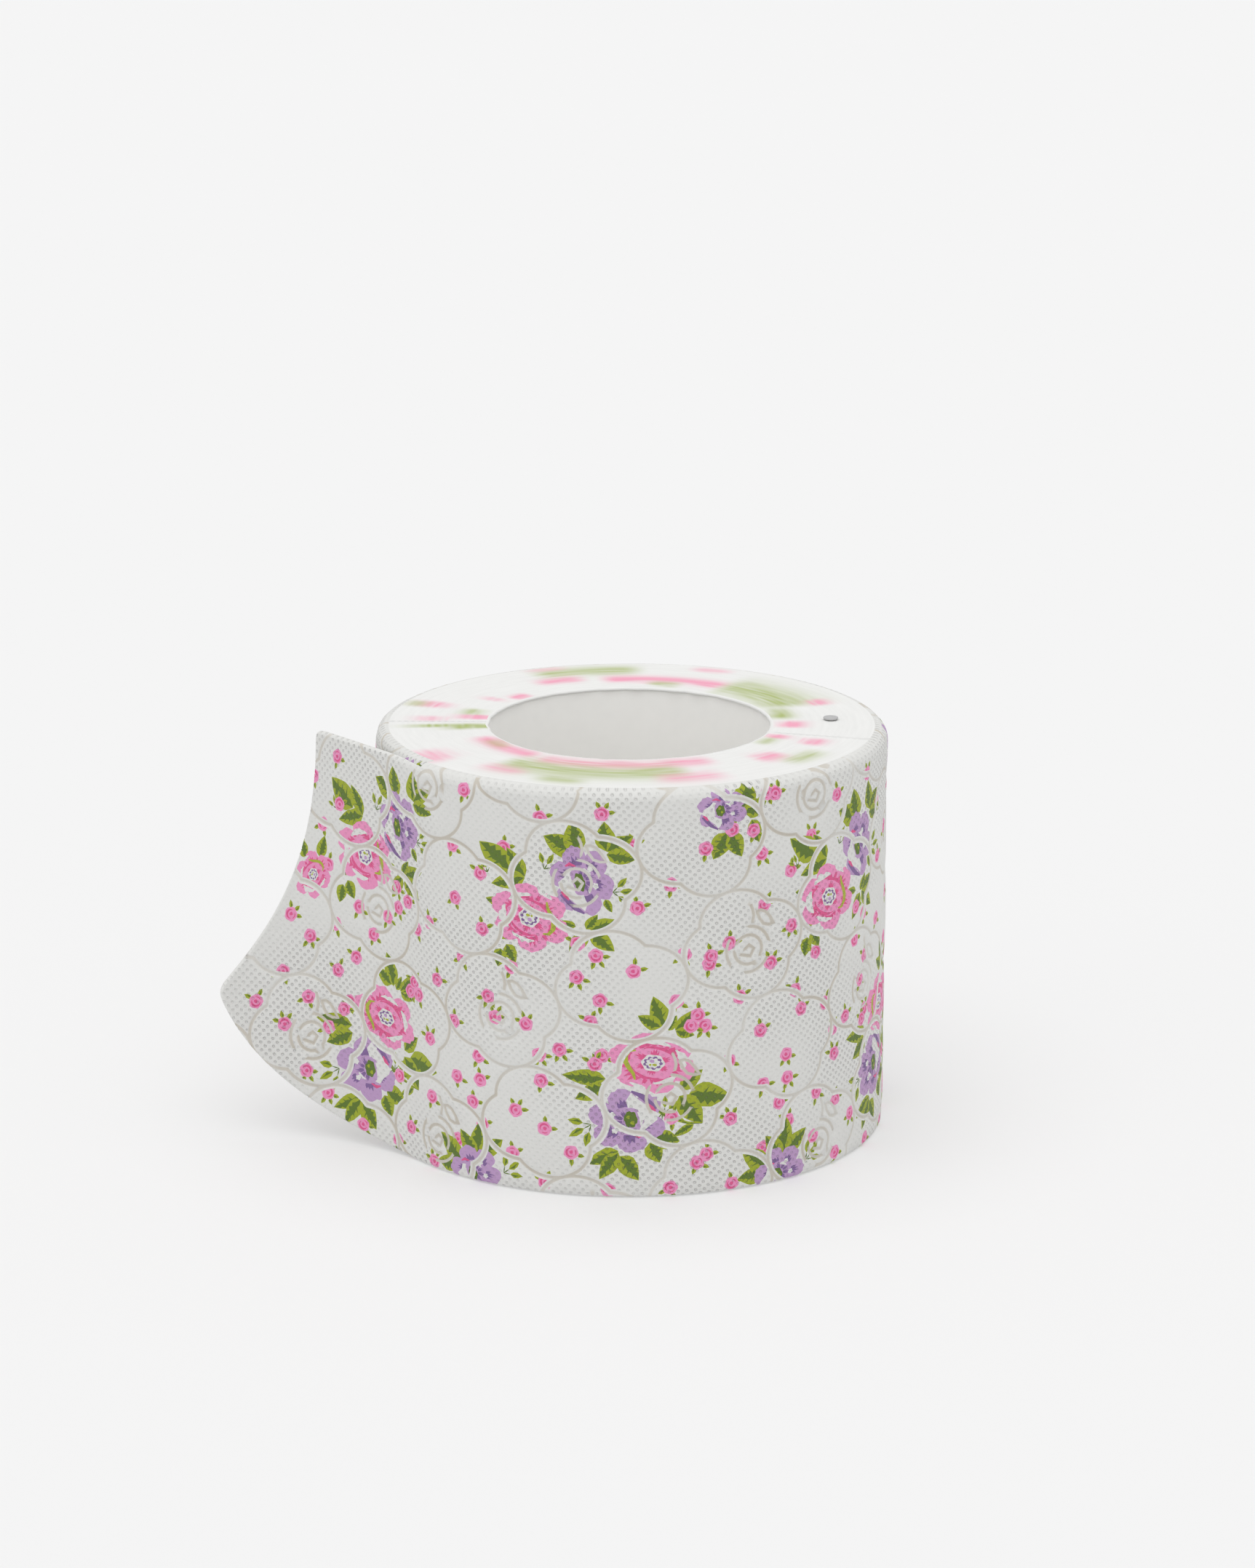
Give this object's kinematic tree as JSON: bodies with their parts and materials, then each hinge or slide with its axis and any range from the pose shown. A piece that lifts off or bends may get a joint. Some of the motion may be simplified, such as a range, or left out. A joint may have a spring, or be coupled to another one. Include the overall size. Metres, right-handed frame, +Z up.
{
  "type": "fabric roll",
  "caption": "Short roll of quilted fabric wound on a hollow paper core, standing on end, with a free end that peels open.",
  "frame": {"origin": "centre of the floor area that the roll and its free end cover, at floor level", "axes": "+Z up along the roll's axis, -Y towards the front of the roll, -X towards the free end"},
  "size_m": [0.1808, 0.138, 0.1108],
  "materials": {
    "fabric": "white quilted cotton with a printed rose pattern",
    "core": "smooth white paperboard",
    "tape": "matt adhesive tape",
    "pin": "plain steel"
  },
  "bodies": {
    "roll": {"core_tube": "core", "wound_fabric": "fabric", "start_tape": "tape", "end_pin": "pin"},
    "free_end": {"free_end": "fabric"}
  },
  "joints": [
    {"name": "free_end_peel", "type": "hinge", "parent": "roll", "child": "free_end", "pos_m": [-0.034, -0.04252, 0.055], "axis": [0, 0, 1], "range_deg": [0, 75]}
  ]
}
